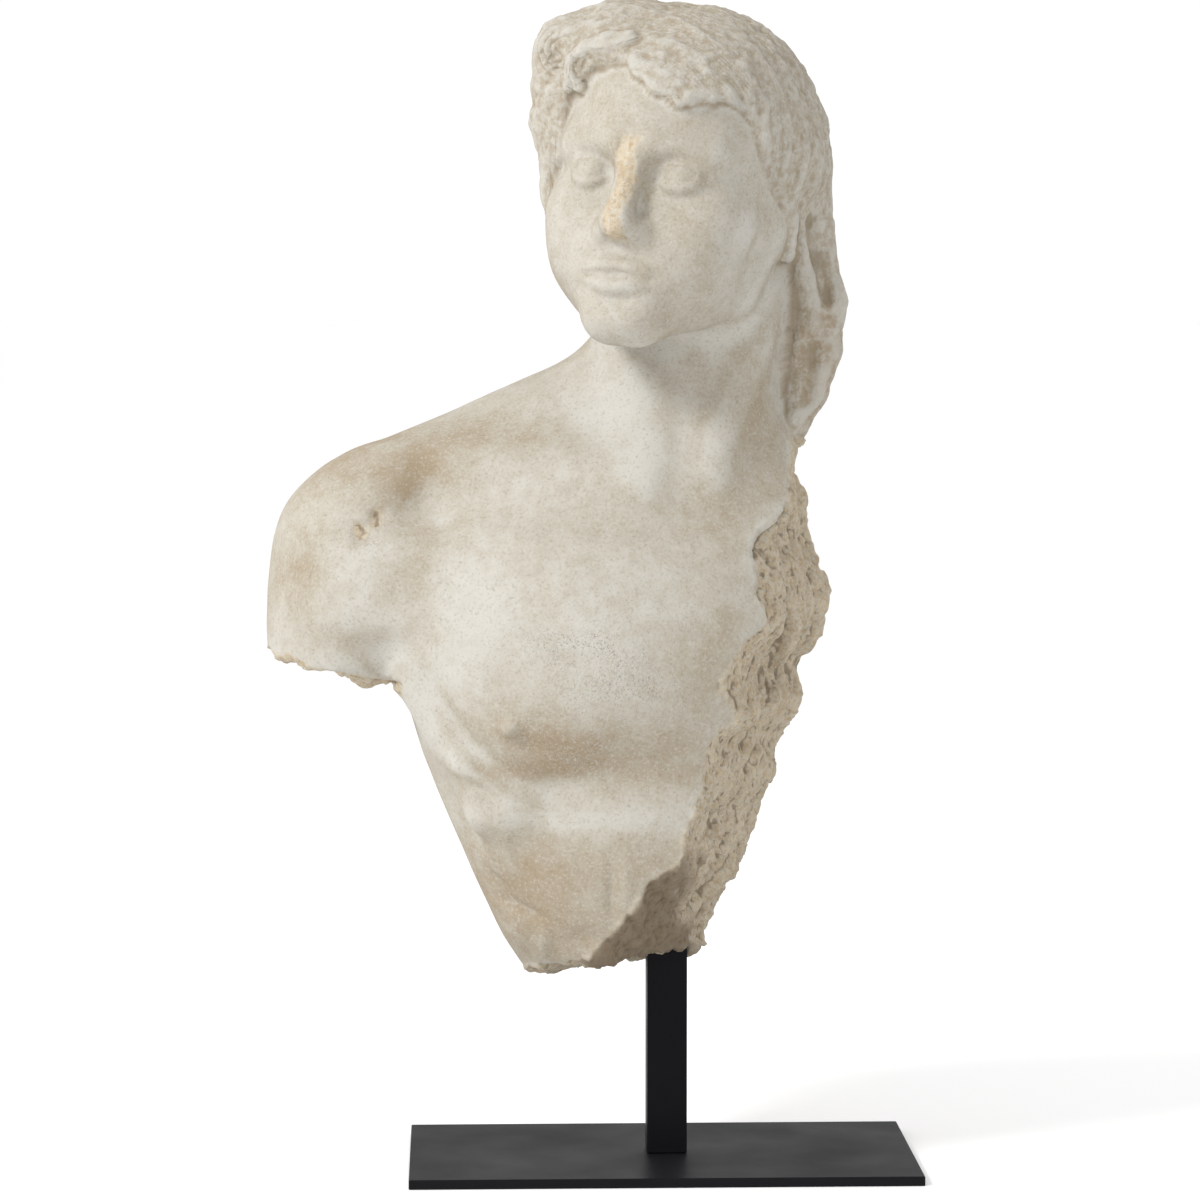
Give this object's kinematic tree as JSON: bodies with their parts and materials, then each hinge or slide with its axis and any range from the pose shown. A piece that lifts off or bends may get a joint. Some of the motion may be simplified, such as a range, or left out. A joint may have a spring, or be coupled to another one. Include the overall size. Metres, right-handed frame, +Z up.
{
  "type": "stone-finish classical torso sculpture on stand",
  "caption": "Weathered classical male torso fragment with turned head and long hair, broken at one arm, its left side and base, on a square black post and thin plate.",
  "frame": {"origin": "centre of the base plate's underside", "axes": "+Z up the post to the crown of the head, -Y to the front, +X to the viewer's right"},
  "size_m": [0.4038, 0.2168, 0.7258],
  "materials": {
    "stone": "matt aged cast stone, pale cream with tan patina",
    "stand_post": "satin black",
    "stand_plate": "satin black"
  },
  "bodies": {
    "root": {"torso": "stone", "post": "stand_post", "base_plate": "stand_plate"}
  },
  "joints": []
}
